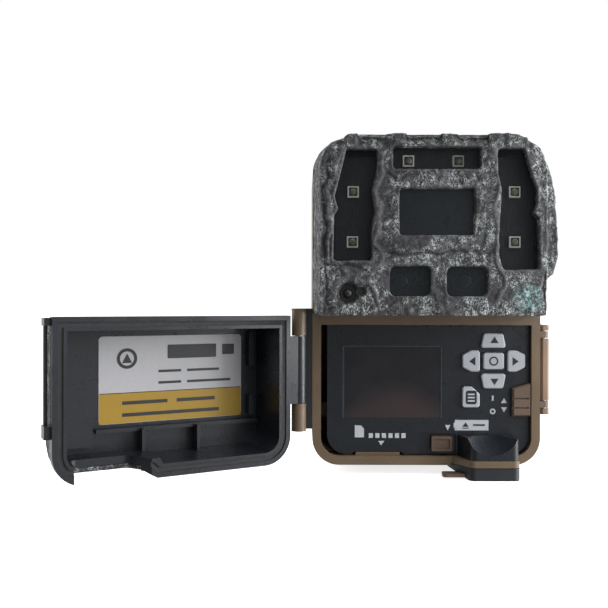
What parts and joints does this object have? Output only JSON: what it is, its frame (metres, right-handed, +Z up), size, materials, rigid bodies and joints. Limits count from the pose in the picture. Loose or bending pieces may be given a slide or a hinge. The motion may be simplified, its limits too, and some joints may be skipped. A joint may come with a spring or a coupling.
{
  "type": "trail camera",
  "caption": "Bark-covered trail camera with a side-hinged lower door, key panel, display, latch and slide-down battery tray",
  "frame": {"origin": "mouth of the tripod socket, in the middle of the back", "axes": "+X to the right seen from the front, +Y to the back, out of the tripod socket, +Z up; the front faces -Y"},
  "size_m": [0.1615, 0.0921, 0.1118],
  "materials": {
    "brown_plastic": "moulded brown, fine grain",
    "bark_shell": "bark pattern film over relief",
    "black_plastic": "moulded black, satin",
    "smoked_window": "smoked polycarbonate",
    "display_module": "liquid crystal panel",
    "circuit_board": "solder mask",
    "black_board": "black solder mask",
    "rubber_seal": "soft silicone",
    "switch_metal": "stamped and tinned",
    "contact_metal": "nickel plated",
    "led_reflector": "bright reflector round an emitter",
    "lens_plastic": "ribbed infrared lens",
    "lens_barrel": "black lens barrel",
    "sensor_dome": "clear dome over a sensor",
    "brass_insert": "turned brass",
    "steel_hardware": "bright zinc",
    "paper_label": null,
    "tan_plastic": "moulded tan",
    "grey_key": "pale grey key with a printed mark",
    "brown_control": "moulded reddish brown",
    "battery_can": "wrapped steel can",
    "card_plastic": "moulded black"
  },
  "bodies": {
    "housing": {"rear_housing": "brown_plastic", "front_housing": "brown_plastic", "bark_cover": "bark_shell", "control_panel": "black_plastic", "lcd_window": "smoked_window", "lcd_module": "display_module", "main_board": "circuit_board", "keypad_mat": "rubber_seal", "tact_switches": "switch_metal", "slide_switch": "black_plastic", "sd_socket": "switch_metal", "battery_bay": "black_plastic", "bay_contacts": "contact_metal", "left_flash_window": "smoked_window", "right_flash_window": "smoked_window", "top_flash_window": "smoked_window", "sensor_window": "smoked_window", "day_lens_window": "smoked_window", "night_lens_window": "smoked_window", "left_led_board": "black_board", "right_led_board": "black_board", "top_led_board": "black_board", "flash_leds": "led_reflector", "fresnel_lens": "lens_plastic", "pir_sensor": "switch_metal", "day_lens": "lens_barrel", "night_lens": "lens_barrel", "lens_board": "circuit_board", "camera_board": "circuit_board", "light_sensor": "sensor_dome", "status_led": "sensor_dome", "tripod_insert": "brass_insert", "housing_screws": "steel_hardware", "cover_screws": "steel_hardware", "housing_seal": "rubber_seal", "hinge_flange": "black_plastic", "hinge_pin": "steel_hardware", "latch_pin": "steel_hardware", "eject_spring": "steel_hardware"},
    "door": {"door_shell": "black_plastic", "door_skin": "bark_shell", "door_seal": "rubber_seal", "info_label": "paper_label"},
    "latch": {"latch_lever": "tan_plastic"},
    "button_up": {"button_up": "grey_key"},
    "button_down": {"button_down": "grey_key"},
    "button_left": {"button_left": "grey_key"},
    "button_right": {"button_right": "grey_key"},
    "button_ok": {"button_ok": "grey_key"},
    "button_mode": {"button_mode": "grey_key"},
    "power_switch": {"power_switch": "brown_control"},
    "eject_button": {"eject_button": "brown_control", "eject_catch": "brown_control"},
    "battery_tray": {"tray_frame": "black_plastic", "tray_cap": "black_plastic", "tray_pull_tab": "brown_control", "aa_cells": "battery_can", "tray_contacts": "contact_metal"},
    "sd_card": {"sd_card": "card_plastic"}
  },
  "joints": [
    {"name": "door_hinge", "type": "hinge", "parent": "housing", "child": "door", "pos_m": [-0.0425, -0.0517, -0.0365], "axis": [0, 0, 1], "range_deg": [-25, 151.5]},
    {"name": "latch_pivot", "type": "hinge", "parent": "housing", "child": "latch", "pos_m": [0.0406, -0.0435, -0.0368], "axis": [0, 0, 1], "range_deg": [-176, 0]},
    {"name": "press_up", "type": "slide", "parent": "housing", "child": "button_up", "axis": [0, 1, 0], "range_m": [0, 0.0007], "stiffness_N_per_m": 600},
    {"name": "press_down", "type": "slide", "parent": "housing", "child": "button_down", "axis": [0, 1, 0], "range_m": [0, 0.0007], "stiffness_N_per_m": 600},
    {"name": "press_left", "type": "slide", "parent": "housing", "child": "button_left", "axis": [0, 1, 0], "range_m": [0, 0.0007], "stiffness_N_per_m": 600},
    {"name": "press_right", "type": "slide", "parent": "housing", "child": "button_right", "axis": [0, 1, 0], "range_m": [0, 0.0007], "stiffness_N_per_m": 600},
    {"name": "press_ok", "type": "slide", "parent": "housing", "child": "button_ok", "axis": [0, 1, 0], "range_m": [0, 0.0007], "stiffness_N_per_m": 600},
    {"name": "press_mode", "type": "slide", "parent": "housing", "child": "button_mode", "axis": [0, 1, 0], "range_m": [0, 0.0007], "stiffness_N_per_m": 600},
    {"name": "power_slide", "type": "slide", "parent": "housing", "child": "power_switch", "axis": [0, 0, 1], "range_m": [0, 0.004]},
    {"name": "eject_press", "type": "slide", "parent": "housing", "child": "eject_button", "axis": [0, 1, 0], "range_m": [0, 0.0015], "stiffness_N_per_m": 500},
    {"name": "tray_slide", "type": "slide", "parent": "housing", "child": "battery_tray", "axis": [0, 0, -1], "range_m": [0, 0.06]},
    {"name": "card_slide", "type": "slide", "parent": "housing", "child": "sd_card", "axis": [0, 0, -1], "range_m": [0, 0.03]}
  ]
}
